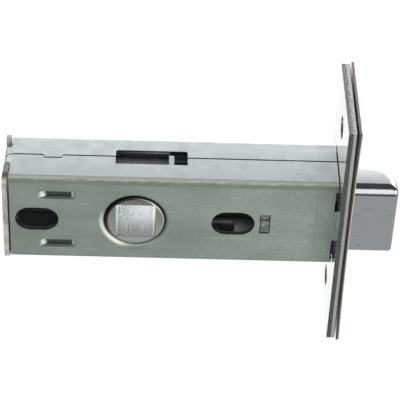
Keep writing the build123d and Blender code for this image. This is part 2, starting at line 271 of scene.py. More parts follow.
def mottle(tree, place, size_mm, detail=2.0, stretch=(1.0, 1.0, 1.0), offset=(0.0, 0.0, 0.0)):
    """Noise whose features are about size_mm wide, and longer along a stretched axis."""
    shrunk = tuple(1.0 / axis for axis in stretch)
    moved = add(tree, "Mapping", {"Vector": place, "Location": offset, "Scale": shrunk})
    return add(tree, "TexNoise", {"Vector": moved, "Scale": per_size(size_mm), "Detail": detail})


def where_all(tree, *masks):
    """The masks' product: 1 only where every mask is 1."""
    result = masks[0]
    for mask in masks[1:]:
        result = add(tree, "Math", result, mask, operation="MULTIPLY")
    return result


def lay_over(tree, under, over, *masks):
    """Lays one colour over another where every mask holds, and in part where a mask is below 1."""
    return add(tree, "Mix", where_all(tree, *masks), under, over, data_type="RGBA")


def facing(tree, place, axis):
    """How squarely the surface faces along an axis either way, from 0 to 1."""
    normal = add(tree, "SeparateXYZ", place.node.outputs["Normal"]).node.outputs
    return add(tree, "Math", normal[axis], operation="ABSOLUTE")


def inside_band(tree, length, low, high, soft=0.15 * MM):
    """1 where a length lies between low and high, 0 outside, fading over soft within the band."""
    off_middle = add(tree, "Math", length, (low + high) / 2, operation="SUBTRACT")
    away = add(tree, "Math", off_middle, operation="ABSOLUTE")
    half = (high - low) / 2
    return add(tree, "MapRange", away, half - soft, half, 1.0, 0.0)


def inside_box(tree, place, low, high, soft):
    """1 inside the box between two corners, fading to 0 over soft outside it."""
    axes = add(tree, "SeparateXYZ", place).node.outputs
    return where_all(tree, *(
        inside_band(tree, axes[i], low[i] - soft, high[i] + soft, soft) for i in range(3)))


def from_spindle(tree, x, z):
    """The vector from the spindle's axis, square to it, and its length."""
    vector = add(tree, "CombineXYZ", x, 0.0, z)
    return vector, add(tree, "VectorMath", vector, operation="LENGTH")


def toward(tree, vector, direction, low, high):
    """0 to 1 as the cosine between a vector and a direction of length 1 rises from low to high."""
    unit = add(tree, "VectorMath", vector, operation="NORMALIZE")
    cosine = add(tree, "VectorMath", unit, direction, operation="DOT_PRODUCT")
    return add(tree, "MapRange", cosine, low, high)


def depth_in_case(tree, place):
    """How far a point lies below the case's outer surface, held at the bend radius further in.

    Measured in the Y-Z section: the bend radius less the length of the vector by which the point
    passes the straight box that stands one bend radius inside the case.
    """
    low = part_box("front_case_shell")[0]
    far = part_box("back_case_shell")[1]
    axes = add(tree, "SeparateXYZ", place).node.outputs
    beyond = [0.0]
    for i in (1, 2):
        middle = (low[i] + far[i]) / 2
        reach = (far[i] - low[i]) / 2 - BEND_RADIUS
        off_middle = add(tree, "Math", axes[i], middle, operation="SUBTRACT")
        away = add(tree, "Math", off_middle, operation="ABSOLUTE")
        past = add(tree, "Math", away, reach, operation="SUBTRACT")
        beyond.append(add(tree, "Math", past, 0.0, operation="MAXIMUM"))
    vector = add(tree, "CombineXYZ", *beyond)
    length = add(tree, "VectorMath", vector, operation="LENGTH")
    return add(tree, "Math", BEND_RADIUS, length, operation="SUBTRACT")


def plated_sheet(tree, place, colours, sizes):
    """Zinc over cold-rolled sheet: its clouded, speckled colour and the sheet's rolled grain."""
    x, y = add(tree, "SeparateXYZ", place).node.outputs[:2]
    wall = facing(tree, place, 1)
    clouds = mottle(tree, place, sizes.blotch / MM, 3.0, (2.2, 1.0, 1.0))
    clouds = add(tree, "MapRange", clouds, 0.35, 0.68)
    colour = lay_over(tree, colours.zinc_deep, colours.zinc_pale, clouds)
    # Painted light: the top and bottom walls are painted a paler neutral grey, paler still away
    # from the front
    lit_faces = add(tree, "MapRange", wall, 0.2, 0.66, 0.85, 0.0)
    colour = lay_over(tree, colour, colours.zinc_top_light, lit_faces)
    far_light = add(tree, "MapRange", y, -5.0 * MM, 6.0 * MM, 0.0, 0.6)
    colour = lay_over(tree, colour, colours.zinc_highlight, far_light, lit_faces)
    # The front and back walls are a little darker at the rear and paler toward the forend
    rear = add(tree, "MapRange", x, -20.0 * MM, 12.0 * MM, 0.10, 0.0)
    colour = lay_over(tree, colour, colours.zinc_speck, wall, rear)
    front = add(tree, "MapRange", x, 8.0 * MM, 26.0 * MM, 0.0, 0.09)
    colour = lay_over(tree, colour, colours.pale_wear_and_highlight, wall, front)
    # Rolling leaves a faint grain along the sheet
    grain = mottle(tree, place, sizes.grain / MM, 2.0, (5.0, 1.0, 1.0))
    streaks = add(tree, "MapRange", grain, 0.3, 0.7, 0.0, 0.10)
    colour = lay_over(tree, colour, colours.zinc_pale, streaks)
    # The plating's skin is a little pebbly on the walls, more so toward the forend
    pebbles = mottle(tree, place, 0.36, offset=(0.8, 0.2, 0.6))
    pebbles = add(tree, "MapRange", pebbles, 0.42, 0.66)
    forward = add(tree, "MapRange", x, -10.0 * MM, 30.0 * MM, 0.05, 0.24)
    colour = lay_over(tree, colour, colours.zinc_speck, pebbles, forward, wall)
    # Pinholes and dust are dark specks
    specks = add(tree, "MapRange", mottle(tree, place, 0.55, 1.0), 0.75, 0.79)
    colour = lay_over(tree, colour, colours.zinc_speck, specks, 0.75)
    # Handling leaves long thin light rubs
    rubs = mottle(tree, place, 0.9, 2.0, (9.0, 1.0, 0.7), (0.3, 0.1, 0.7))
    rubs = add(tree, "MapRange", rubs, 0.66, 0.72)
    return lay_over(tree, colour, colours.forend_face, rubs, 0.07), grain


def bend_highlights(tree, place, colours, colour):
    """Painted reflection on the upper bends: a pale highlight band, and a dull band of painted
    shade just below it.
    """
    z = add(tree, "SeparateXYZ", place).node.outputs["Z"]
    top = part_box("front_case_shell")[1][2]
    sunk = add(tree, "Math", top, z, operation="SUBTRACT")
    ragged = mottle(tree, place, 0.7, 3.0, (2.0, 1.0, 1.0), (0.2, 0.8, 0.5))
    ragged = add(tree, "MapRange", ragged, 0.3, 0.7, -0.05 * MM, 0.05 * MM)
    uneven = add(tree, "Math", sunk, ragged, operation="ADD")
    sideways = add(tree, "MapRange", facing(tree, place, 1), 0.05, 0.2)
    starts = add(tree, "MapRange", sunk, 0.02 * MM, 0.08 * MM)
    ends = add(tree, "MapRange", uneven, 0.18 * MM, 0.41 * MM, 1.0, 0.0)
    colour = lay_over(tree, colour, colours.pale_wear_and_highlight, starts, ends, sideways)
    starts = add(tree, "MapRange", uneven, 0.34 * MM, 0.56 * MM)
    ends = add(tree, "MapRange", uneven, 0.85 * MM, 1.45 * MM, 1.0, 0.0)
    colour = lay_over(tree, colour, colours.dull_wear_and_shade, starts, ends, sideways)
    # Long bright scuffs lie on the painted highlight band
    scuffs = mottle(tree, place, 0.45, 2.0, (22.0, 1.0, 1.0), (0.6, 0.3, 0.1))
    scuffs = add(tree, "MapRange", scuffs, 0.63, 0.71)
    band = inside_band(tree, sunk, 0.02 * MM, 0.6 * MM, 0.1 * MM)
    return lay_over(tree, colour, colours.forend_face, scuffs, sideways, band, 0.5)


def scribed_wall(tree, place, colours, colour):
    """A line is scribed near the forend, and from just before it the front and back walls grow
    darker toward the forend.
    """
    x = add(tree, "SeparateXYZ", place).node.outputs["X"]
    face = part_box("front_case_shell")[0][1]
    scribe = inside_box(tree, place, (SCRIBE_X - 0.05 * MM, face - MM, -SCRIBE_REACH),
                        (SCRIBE_X + 0.05 * MM, face + 0.05 * MM, SCRIBE_REACH), 0.08 * MM)
    colour = lay_over(tree, colour, colours.zinc_speck, scribe, 0.35)
    forend_darkening = add(tree, "MapRange", x, SCRIBE_X - 1.5 * MM, SCRIBE_X + 3.0 * MM, 0.0, 0.26)
    return lay_over(tree, colour, colours.zinc_speck, facing(tree, place, 1), forend_darkening)


def pressed_and_cut(tree, place, colours, colour):
    """The painted highlights and shade on its ribs and collar, the painted shade on its cut edges,
    and the inside.

    A point below the case's outer surface is on a cut edge, except on the collar, the ribs and
    the rear tabs, which are outer surface that was pressed deeper.
    """
    x, _, z = add(tree, "SeparateXYZ", place).node.outputs
    depth = depth_in_case(tree, place)
    vector, radius = from_spindle(tree, x, z)
    height = add(tree, "Math", z, operation="ABSOLUTE")
    plate_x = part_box("rear_end_plate")[1][0]
    # Painted shade darkens a rib's floor, and painted highlights brighten its end ramps
    rib_x = add(tree, "Math", x, plate_x, operation="SUBTRACT")
    past_ribs = add(tree, "MapRange", rib_x, RIBS_END, RIBS_END + 0.1 * MM)
    along_ribs = add(tree, "Math", 1.0, past_ribs, operation="SUBTRACT")
    in_rib = where_all(tree, inside_band(tree, height, *RIB_HEIGHTS), along_ribs)
    floor = inside_band(tree, rib_x, *RIB_FLOOR)
    sunk = add(tree, "MapRange", depth, 0.35 * MM, 0.7 * MM)
    colour = lay_over(tree, colour, colours.rib_floor_shade, floor, sunk, in_rib)
    rear_ramp = inside_band(tree, rib_x, *REAR_RAMP, 0.8 * MM)
    front_ramp = inside_band(tree, rib_x, *FRONT_RAMP, 0.3 * MM)
    ramps = add(tree, "Math", rear_ramp, front_ramp, operation="MAXIMUM")
    sloping = add(tree, "MapRange", depth, 0.1 * MM, 0.5 * MM)
    level = inside_band(tree, height, *RAMP_HEIGHTS, 0.5 * MM)
    colour = lay_over(tree, colour, colours.rib_ramp_highlight, ramps, sloping, level, in_rib)
    # A painted highlight lies on the collar's rim toward the lower rear, and the rim is darker at
    # the bottom
    rim = inside_band(tree, radius, *COLLAR_RIM, 0.5 * MM)
    lower_rear = toward(tree, vector, LOWER_REAR, 0.55, 0.92)
    colour = lay_over(tree, colour, colours.rim_highlight, rim, lower_rear)
    lower_band = inside_band(tree, radius, *COLLAR_LOWER_BAND, 0.5 * MM)
    bottom = toward(tree, vector, DOWNWARD, 0.9, 0.99)
    colour = lay_over(tree, colour, colours.dull_wear_and_shade, lower_band, bottom, 0.5)
    # Painted shade darkens the cut edges
    between_ribs = add(tree, "MapRange", height, 4.8 * MM, 4.9 * MM, 1.0, 0.0)
    beyond_ribs = add(tree, "MapRange", height, 7.4 * MM, 7.5 * MM)
    off_ribs = add(tree, "Math", between_ribs, beyond_ribs, operation="MAXIMUM")
    off_ribs = add(tree, "Math", past_ribs, off_ribs, operation="MAXIMUM")
    off_collar = add(tree, "MapRange", radius, COLLAR_RADIUS, COLLAR_RADIUS + 0.2 * MM)
    below = add(tree, "MapRange", depth, 0.05 * MM, 0.14 * MM)
    off_tabs = add(tree, "MapRange", rib_x, 0.75 * MM, 0.8 * MM)
    colour = lay_over(tree, colour, colours.crevice_shade, off_ribs, off_collar, below, off_tabs)
    inside = add(tree, "MapRange", depth, SHEET - 0.05 * MM, SHEET - 0.02 * MM)
    colour = lay_over(tree, colour, colours.case_inside, inside, off_tabs)
    # Painted shade darkens the wall of the collar's bore
    bore = add(tree, "MapRange", radius, COLLAR_BORE, COLLAR_BORE + 0.1 * MM, 1.0, 0.0)
    deep = add(tree, "MapRange", depth, 0.6 * MM, 0.9 * MM)
    colour = lay_over(tree, colour, colours.crevice_shade, bore, deep)
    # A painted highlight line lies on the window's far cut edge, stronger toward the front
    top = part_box("front_case_shell")[1][2]
    line = inside_box(tree, place, (-4.0 * MM, 2.45 * MM, top - 0.70 * MM),
                      (6.4 * MM, 2.65 * MM, top - 0.42 * MM), 0.08 * MM)
    forward = add(tree, "MapRange", x, -4.0 * MM, 5.0 * MM, 0.12, 1.0)
    return lay_over(tree, colour, colours.zinc_highlight, line, forward)


def staked_tenon(tree, place, colours, colour):
    """Staking bruised the tenon of the spring's plate and the edge of its hole, in patches."""
    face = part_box("front_case_shell")[0][1]
    low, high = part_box("spring_abutment_plate")
    bruise = inside_box(tree, place, (low[0] - 0.25 * MM, face - MM, -TENON_REACH),
                        (high[0] + 0.25 * MM, face + 0.3 * MM, TENON_REACH), 0.1 * MM)
    patches = mottle(tree, place, 0.9, 2.0, (1.0, 1.0, 0.5), (0.4, 0.0, 0.2))
    patches = add(tree, "MapRange", patches, 0.54, 0.62, 0.0, 0.5)
    bruised = lay_over(tree, colours.dull_wear_and_shade, colours.pale_wear_and_highlight, patches)
    return lay_over(tree, colour, bruised, bruise, 0.5)


def zinc_plated_steel(colours, sizes):
    """Bright zinc over cold-rolled sheet: greenish grey, softly clouded, with painted highlight and
    shade bands along its upper bends.
    """
    material, tree, place = new_material("zinc_plated_pressed_steel")
    colour, grain = plated_sheet(tree, place, colours, sizes)
    for layer in (bend_highlights, scribed_wall, pressed_and_cut, staked_tenon):
        colour = layer(tree, place, colours, colour)
    satin = add(tree, "MapRange", mottle(tree, place, 2.5, 3.0), 0.3, 0.7, 0.50, 0.60)
    relief = add(tree, "Bump", {"Height": grain, "Distance": 0.004 * MM, "Strength": 0.4})
    return finished(material, {
        "Base Color": colour, "Roughness": satin, "Metallic": 0.85, "Normal": relief})


def oiled_strip_steel(colours, sizes):
    """Pressed strip that slides in grease: dark with a faint grain, painted light on the near part
    of its flats, and lugs a little paler.
    """
    material, tree, place = new_material("oiled_strip_steel")
    x, y, z = add(tree, "SeparateXYZ", place).node.outputs
    height = add(tree, "Math", z, operation="ABSOLUTE")
    clouds = add(tree, "MapRange", mottle(tree, place, 2.5, 3.0), 0.35, 0.68)
    colour = lay_over(tree, colours.strip, colours.zinc_speck, clouds)
    # Painted light brightens the near part of the flat faces between the rear and the bolt;
    # elsewhere the strip stays dark, and it darkens toward the bolt
    near = add(tree, "MapRange", y, 1.1 * MM, 2.6 * MM, 1.0, 0.0)
    lit_span = inside_band(tree, x, *STRIP_LIT_SPAN, 0.5 * MM)
    below_flat = add(tree, "MapRange", height, 7.30 * MM, 7.40 * MM, 1.0, 0.0)
    flat = add(tree, "MapRange", facing(tree, place, 2), 0.5, 0.8)
    lit_faces = add(tree, "Math", below_flat, flat, operation="MAXIMUM")
    colour = lay_over(tree, colour, colours.strip_lit, near, lit_span, lit_faces)
    toward_bolt = add(tree, "MapRange", x, 20.0 * MM, 22.5 * MM, 0.0, 0.7)
    colour = lay_over(tree, colour, colours.zinc_speck, toward_bolt)
    lug = add(tree, "MapRange", height, 8.3 * MM, 8.8 * MM)
    colour = lay_over(tree, colour, colours.strip_lug, lug)
    grain = mottle(tree, place, sizes.grain / MM, 2.0, (5.0, 1.0, 1.0))
    streaks = add(tree, "MapRange", grain, 0.3, 0.7, 0.0, 0.2)
    colour = lay_over(tree, colour, colours.zinc_deep, streaks)
    relief = add(tree, "Bump", {"Height": grain, "Distance": 0.004 * MM, "Strength": 0.4})
    return finished(material, {
        "Base Color": colour, "Roughness": 0.5, "Metallic": 0.6, "Normal": relief})


def stamped_end_plate(colours):
    """Thinly plated steel with a sheared edge: brown and grey mottling."""
    material, tree, place = new_material("stamped_end_plate_steel")
    patches = mottle(tree, place, 1.6, 4.0, (1.0, 1.0, 1.6))
    patches = add(tree, "MapRange", patches, 0.36, 0.66)
    colour = lay_over(tree, colours.end_plate, colours.end_plate_dark, patches)
    grit = add(tree, "MapRange", mottle(tree, place, 0.3), 0.45, 0.75, 0.0, 0.5)
    colour = lay_over(tree, colour, colours.end_plate_dark, grit)
    # Its top and bottom edges were sheared darker
    ends = add(tree, "MapRange", facing(tree, place, 2), 0.5, 0.9, 0.0, 0.7)
    colour = lay_over(tree, colour, colours.forend_burnish, ends)
    uneven = add(tree, "MapRange", patches, 0.0, 1.0, 0.38, 0.6)
    relief = add(tree, "Bump", {"Height": patches, "Distance": 0.02 * MM, "Strength": 0.4})
    return finished(material, {
        "Base Color": colour, "Roughness": uneven, "Metallic": 0.7, "Normal": relief})


def off_faces(tree, place):
    """1 where the surface faces away from X, as on a plate's sheared edges, 0 on its faces."""
    return add(tree, "MapRange", facing(tree, place, 0), 0.35, 0.65, 1.0, 0.0)


def inner_forend_steel(colours):
    """Bright plated plate: its sheared edge is half burnished and dark, half broken and pale."""
    material, tree, place = new_material("bright_plated_forend_steel")
    x, y, z = add(tree, "SeparateXYZ", place).node.outputs
    low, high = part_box("inner_forend")
    split = low[0] + 0.55 * (high[0] - low[0])
    wander = mottle(tree, place, 1.2, 3.0, (1.0, 1.0, 4.0))
    wander = add(tree, "MapRange", wander, 0.2, 0.8, -0.06 * MM, 0.06 * MM)
    wandering = add(tree, "Math", x, wander, operation="ADD")
    broken = add(tree, "MapRange", wandering, split - 0.04 * MM, split + 0.06 * MM)
    edge = lay_over(tree, colours.forend_burnish, colours.forend_fracture, broken)
    # Painted shade, with some dirt: a dark line along the edge where the two forends meet
    line = add(tree, "MapRange", x, high[0] - 0.16 * MM, high[0] - 0.04 * MM)
    edge = lay_over(tree, edge, colours.shade_line, line)
    glints = mottle(tree, place, 0.3, 2.0, (1.0, 1.0, 2.0))
    glints = add(tree, "MapRange", glints, 0.35, 0.7, 0.0, 0.05)
    edge = lay_over(tree, edge, colours.forend_face, glints)
    # The ends were cropped: a ragged border parts their cut half from their torn half
    grit = add(tree, "MapRange", mottle(tree, place, 0.4, 3.0), 0.3, 0.7, -0.65 * MM, 0.65 * MM)
    ragged = add(tree, "Math", x, grit, operation="ADD")
    torn = add(tree, "MapRange", ragged, split - 0.1 * MM, split + 0.1 * MM)
    cropped = lay_over(tree, colours.cropped_dark, colours.cropped_pale, torn)
    cropped = lay_over(tree, cropped, colours.shade_line, line)
    ends = add(tree, "MapRange", facing(tree, place, 2), 0.4, 0.6)
    edge = lay_over(tree, edge, cropped, ends)
    # Drilling left the screw holes' walls brown, with bright chatter marks
    height = add(tree, "Math", z, operation="ABSOLUTE")
    drilled = where_all(tree, inside_band(tree, y, *SCREW_HOLE_WIDTH),
                        inside_band(tree, height, *SCREW_HOLE_HEIGHTS))
    chatter = add(tree, "MapRange", mottle(tree, place, 0.6), 0.58, 0.68, 0.0, 0.8)
    wall = lay_over(tree, colours.plate_copper, colours.plate_edge, 0.45)
    wall = lay_over(tree, wall, colours.forend_face, chatter)
    edge = lay_over(tree, edge, wall, drilled)
    haze = add(tree, "MapRange", mottle(tree, place, 4.0, 3.0), 0.35, 0.7, 0.0, 0.2)
    face = lay_over(tree, colours.forend_face, colours.zinc_pale, haze)
    edges = off_faces(tree, place)
    gloss = add(tree, "MapRange", edges, 0.0, 1.0, 0.13, 0.42)
    return finished(material, {
        "Base Color": lay_over(tree, face, edge, edges), "Roughness": gloss, "Metallic": 0.9})


def outer_forend_plate(colours):
    """Satin-plated thin plate: the cut edge shows its copper-brown under-layer."""
    material, tree, place = new_material("satin_plated_outer_forend")
    x = add(tree, "SeparateXYZ", place).node.outputs["X"]
    low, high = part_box("outer_forend")
    tone = add(tree, "MapRange", mottle(tree, place, 1.5, 3.0), 0.3, 0.7, 0.0, 0.5)
    edge = lay_over(tree, colours.plate_edge, colours.zinc_speck, tone)
    corner = add(tree, "MapRange", x, high[0] - 0.5 * MM, high[0] - 0.3 * MM)
    share = add(tree, "MapRange", facing(tree, place, 2), 0.3, 0.6, 0.6, 0.2)
    edge = lay_over(tree, edge, colours.plate_copper, corner, share)
    # Painted shade, with some dirt: a dark line where this plate meets the inner forend
    line = add(tree, "MapRange", x, low[0] + 0.12 * MM, low[0] + 0.30 * MM, 1.0, 0.0)
    edge = lay_over(tree, edge, colours.shade_line, line)
    # Satin brushing runs along the plate, too fine to see singly and drawn 0.15 mm wide
    brushing = mottle(tree, place, 0.15, 2.0, (1.0, 1.0, 60.0))
    strokes = add(tree, "MapRange", brushing, 0.3, 0.7, 0.0, 0.25)
    face = lay_over(tree, colours.plate_face, colours.zinc_deep, strokes)
    edges = off_faces(tree, place)
    gloss = add(tree, "MapRange", edges, 0.0, 1.0, 0.27, 0.42)
    relief = add(tree, "Bump", {"Height": brushing, "Distance": 0.003 * MM, "Strength": 0.3})
    return finished(material, {
        "Base Color": lay_over(tree, face, edge, edges), "Roughness": gloss, "Metallic": 0.9,
        "Normal": relief})


def bright_chrome(colours):
    """Decorative chrome over a polished zinc casting: a clear mirror with a few tiny pits."""
    material, tree, place = new_material("bright_chrome_on_casting")
    x, y, z = add(tree, "SeparateXYZ", place).node.outputs
    tilt = facing(tree, place, 2)
    pits = mottle(tree, place, 0.7, 0.0, offset=(0.21, 0.4, 0.13))
    pits = add(tree, "MapRange", pits, 0.82, 0.85)
    sides = add(tree, "MapRange", tilt, 0.3, 0.6, 1.0, 0.0)
    colour = lay_over(tree, colours.chrome, colours.zinc_speck, pits, sides)
    # A painted dark reflection band lies where the faces begin to round, on the upper edges only
    starts = add(tree, "MapRange", tilt, 0.01, 0.05)
    ends = add(tree, "MapRange", tilt, 0.16, 0.24, 1.0, 0.0)
    upper = add(tree, "MapRange", z, 0.0, MM)
    colour = lay_over(tree, colour, colours.shade_line, starts, ends, upper, 0.85)
    # The tail that stays in the case is bare, dark casting
    case_front_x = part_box("inner_forend")[0][0]
    tail = add(tree, "MapRange", x, case_front_x, case_front_x + 0.1 * MM, 1.0, 0.0)
    colour = lay_over(tree, colour, colours.bolt_tail, tail)
    # Buffing crowns the top a little, steeper toward the near edge
    low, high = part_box("latch_bolt")
    near = add(tree, "MapRange", y, low[1], high[1], 1.0, 0.0)
    crown = add(tree, "Math", where_all(tree, near, near), -1.0, operation="MULTIPLY")
    relief = add(tree, "Bump", {"Height": crown, "Distance": 0.45 * MM, "Strength": 1.0})
    gloss = add(tree, "MapRange", mottle(tree, place, 2.0), 0.3, 0.7, 0.15, 0.17)
    return finished(material, {
        "Base Color": colour, "Roughness": gloss, "Metallic": 1.0, "Normal": relief})


def square_hole_wall(tree, place, colours, grain):
    """The square hole's bright, coarsely grained wall, pored at the rear and polished in front."""
    x, y = add(tree, "SeparateXYZ", place).node.outputs[:2]
    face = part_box("follower")[0][1]
    coarse = add(tree, "MapRange", grain, 0.40, 0.58)
    colour = lay_over(tree, colours.square_grain, colours.square_wall, coarse)
    smooth = mottle(tree, place, 3.2, offset=(0.5, 0.2, 0.9))
    smooth = add(tree, "MapRange", smooth, 0.45, 0.6)
    colour = lay_over(tree, colour, colours.square_wall, smooth, 0.7)
    front = add(tree, "MapRange", x, -2.5 * MM, 3.5 * MM, 0.0, 0.7)
    mouth = add(tree, "MapRange", y, face, face + 7.0 * MM, 0.7, 0.0)
    polished = add(tree, "Math", front, mouth, operation="MAXIMUM")
    colour = lay_over(tree, colour, colours.square_polish, polished)
    # Fine pores crowd the rear and outer half
    pores = mottle(tree, place, 0.33, offset=(0.7, 0.1, 0.4))
    pores = add(tree, "MapRange", pores, 0.52, 0.60)
    clumps = mottle(tree, place, 2.2, offset=(0.1, 0.6, 0.3))
    clumps = add(tree, "MapRange", clumps, 0.4, 0.6, 0.4, 1.2)
    rear = add(tree, "MapRange", x, -1.5 * MM, 2.0 * MM, 1.0, 0.2)
    outer = add(tree, "MapRange", y, face + 2.0 * MM, face + 5.0 * MM, 0.6, 0.1)
    crowd = add(tree, "Math", rear, outer, operation="MAXIMUM")
    crowd = add(tree, "Math", where_all(tree, crowd, clumps), 1.0, operation="MINIMUM")
    colour = lay_over(tree, colour, colours.zinc_speck, pores, crowd)
    # Draw marks run along the hole
    marks = mottle(tree, place, 0.35, 1.0, (1.0, 9.0, 1.0))
    marks = add(tree, "MapRange", marks, 0.55, 0.7, 0.0, 0.5)
    return lay_over(tree, colour, colours.square_polish, marks)


def cast_follower(colours, sizes):
    """As-cast zinc: dull grey with a fine skin, bright only in its square hole."""
    material, tree, place = new_material("die_cast_zinc")
    x, y, z = add(tree, "SeparateXYZ", place).node.outputs
    low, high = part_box("follower")
    grain = mottle(tree, place, sizes.cast_grain / MM, 3.0)
    # Painted shade: the upper part of the face is darker
    shade = add(tree, "MapRange", z, -5.0 * MM, 5.2 * MM)
    colour = lay_over(tree, colours.casting, colours.casting_shade, shade)
    skin = add(tree, "MapRange", grain, 0.3, 0.7, 0.0, 0.35)
    colour = lay_over(tree, colour, colours.zinc_speck, skin)
    reach = HALF_SQUARE + 0.08 * MM
    hole = inside_box(tree, place, (-reach, low[1] + 0.2 * MM, -reach),
                      (reach, high[1], reach), 0.03 * MM)
    colour = lay_over(tree, colour, square_hole_wall(tree, place, colours, grain), hole)
    # A painted highlight lies on the boss's outer edge toward the upper front
    vector, radius = from_spindle(tree, x, z)
    ring = inside_band(tree, radius, *BOSS_RING, 0.04 * MM)
    front = add(tree, "MapRange", y, low[1] + 0.2 * MM, low[1] + 0.25 * MM, 1.0, 0.0)
    arc = toward(tree, vector, UPPER_FRONT, 0.0, 0.6)
    colour = lay_over(tree, colour, colours.rim_highlight, ring, front, arc, 0.65)
    # Painted shadow darkens its edge toward the upper rear
    edge = add(tree, "MapRange", radius, 5.22 * MM, 5.34 * MM)
    arc = toward(tree, vector, UPPER_REAR, 0.1, 0.75)
    colour = lay_over(tree, colour, colours.crevice_shade, edge, arc)
    gloss = add(tree, "MapRange", hole, 0.0, 1.0, 0.5, 0.38)
    relief = add(tree, "Bump", {"Height": grain, "Distance": 0.03 * MM, "Strength": 0.35})
    return finished(material, {
        "Base Color": colour, "Roughness": gloss, "Metallic": 0.7, "Normal": relief})


def drawn_wire(colours):
    """Hard-drawn spring wire: smooth grey, a little uneven in tone."""
    material, tree, place = new_material("drawn_spring_wire")
    tone = add(tree, "MapRange", mottle(tree, place, 0.8), 0.3, 0.7, 0.0, 0.3)
    colour = lay_over(tree, colours.wire, colours.zinc_speck, tone)
    return finished(material, {"Base Color": colour, "Roughness": 0.32, "Metallic": 0.9})


def dress(material, *nodes):
    """Gives CAD nodes the material, in every slot they have."""
    for name in nodes:
        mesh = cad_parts[name].data
        if not mesh.materials:
            mesh.materials.append(material)
        for index in range(len(mesh.materials)):
            mesh.materials[index] = material


def spring_mesh(low, high, radius, wire, turns, sides=14, steps_per_turn=48, closed_turns=0.8):
    """A round wire wound about X between low and high, its ends wound close.

    At turn t the wire's centre is at radius times (cos, sin) of 2 pi t, and its height along X
    grows slowly over the first and last closed turns and evenly between them. Round that centre
    lies a circle of wire / 2, in the plane of the radius and the X axis. Each end is a flat cap.
    """
    steps = int(turns * steps_per_turn) + 1
    t = np.linspace(0.0, turns, steps)
    into = np.clip(t / closed_turns, 0.0, 1.0) ** 2
    out = np.clip((turns - t) / closed_turns, 0.0, 1.0) ** 2
    speed = 0.25 + 0.75 * into * out
    rise = np.concatenate([[0.0], np.cumsum((speed[1:] + speed[:-1]) / 2)])
    x = low[0] + wire / 2 + rise / rise[-1] * (high[0] - low[0] - wire)
    angle = 2 * math.pi * t
    round_wire = np.linspace(0.0, 2 * math.pi, sides, endpoint=False)
    reach = radius + wire / 2 * np.cos(round_wire)[None, :]
    centre_y = (low[1] + high[1]) / 2
    centre_z = (low[2] + high[2]) / 2
    verts = np.stack([
        x[:, None] + wire / 2 * np.sin(round_wire)[None, :],
        centre_y + reach * np.cos(angle)[:, None],
        centre_z + reach * np.sin(angle)[:, None],
    ], axis=-1).reshape(-1, 3)
    ring = np.arange(steps - 1)[:, None] * sides
    side = np.arange(sides)[None, :]
    after = (side + 1) % sides
    corners = [ring + side, ring + sides + side, ring + sides + after, ring + after]
    quads = np.stack(corners, axis=-1)
    faces = quads.reshape(-1, 4).tolist()
    faces.append(list(range(sides)))
    faces.append(list(range((steps - 1) * sides, steps * sides))[::-1])
    mesh = bpy.data.meshes.new("latch_spring_wire")
    mesh.from_pydata(verts.tolist(), [], faces)
    mesh.update()
    mesh.polygons.foreach_set("use_smooth", [len(face) == 4 for face in faces])
    return mesh


class LATCH_OT_case(bpy.types.Operator):
    """Dresses the two pressed case shells and the plate staked through them in zinc plating"""
    bl_idname = "latch.case"
    bl_label = "Case Shells"

    def execute(self, context):
        scene = context.scene
        dress(zinc_plated_steel(scene.latch_colours, scene.latch_sizes),
              "front_case_shell", "back_case_shell", "spring_abutment_plate")
        return {"FINISHED"}


class LATCH_OT_end_plate(bpy.types.Operator):
    """Dresses the stamped plate at the case's rear"""
    bl_idname = "latch.end_plate"
    bl_label = "End Plate"

    def execute(self, context):
        dress(stamped_end_plate(context.scene.latch_colours), "rear_end_plate")
        return {"FINISHED"}


class LATCH_OT_forends(bpy.types.Operator):
    """Dresses the bright inner forend and the satin outer one"""
    bl_idname = "latch.forends"
    bl_label = "Forends"

    def execute(self, context):
        colours = context.scene.latch_colours
        dress(inner_forend_steel(colours), "inner_forend")
        dress(outer_forend_plate(colours), "outer_forend")
        return {"FINISHED"}


class LATCH_OT_bolt(bpy.types.Operator):
    """Dresses the latch bolt in bright chrome"""
    bl_idname = "latch.bolt"
    bl_label = "Latch Bolt"

    def execute(self, context):
        dress(bright_chrome(context.scene.latch_colours), "latch_bolt")
        return {"FINISHED"}


class LATCH_OT_strips(bpy.types.Operator):
    """Dresses the two pull strips"""
    bl_idname = "latch.strips"
    bl_label = "Pull Strips"

    def execute(self, context):
        scene = context.scene
        dress(oiled_strip_steel(scene.latch_colours, scene.latch_sizes),
              "upper_pull_strip", "lower_pull_strip")
        return {"FINISHED"}


class LATCH_OT_follower(bpy.types.Operator):
    """Dresses the die-cast follower"""
    bl_idname = "latch.follower"
    bl_label = "Follower"

    def execute(self, context):
        scene = context.scene
        dress(cast_follower(scene.latch_colours, scene.latch_sizes), "follower")
        return {"FINISHED"}


class LATCH_OT_spring(bpy.types.Operator):
    """Winds the latch spring in round wire, in the CAD spring's place"""
    bl_idname = "latch.spring"
    bl_label = "Latch Spring"

    def execute(self, context):
        scene = context.scene
        low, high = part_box("latch_spring")
        wire = scene.latch_sizes.spring_wire
        radius = (high[2] - low[2]) / 2 - wire / 2
        mesh = spring_mesh(low, high, radius, wire, scene.latch_sizes.spring_turns)
        mesh.materials.append(drawn_wire(scene.latch_colours))
        spring = bpy.data.objects.new("round_wire_spring", mesh)
        scene.collection.objects.link(spring)
        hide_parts("latch_spring")
        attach(spring, "case")
        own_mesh(spring)
        return {"FINISHED"}


def floor_mesh(half, height):
    """A flat square sheet: four corners at plus or minus half, at one height."""
    mesh = bpy.data.meshes.new("pale_floor")
    corners = np.array([(-1, -1), (1, -1), (1, 1), (-1, 1)], float) * half
    verts = np.column_stack([corners, np.full(4, height)])
    mesh.from_pydata(verts.tolist(), [], [(0, 1, 2, 3)])
    mesh.update()
    return mesh


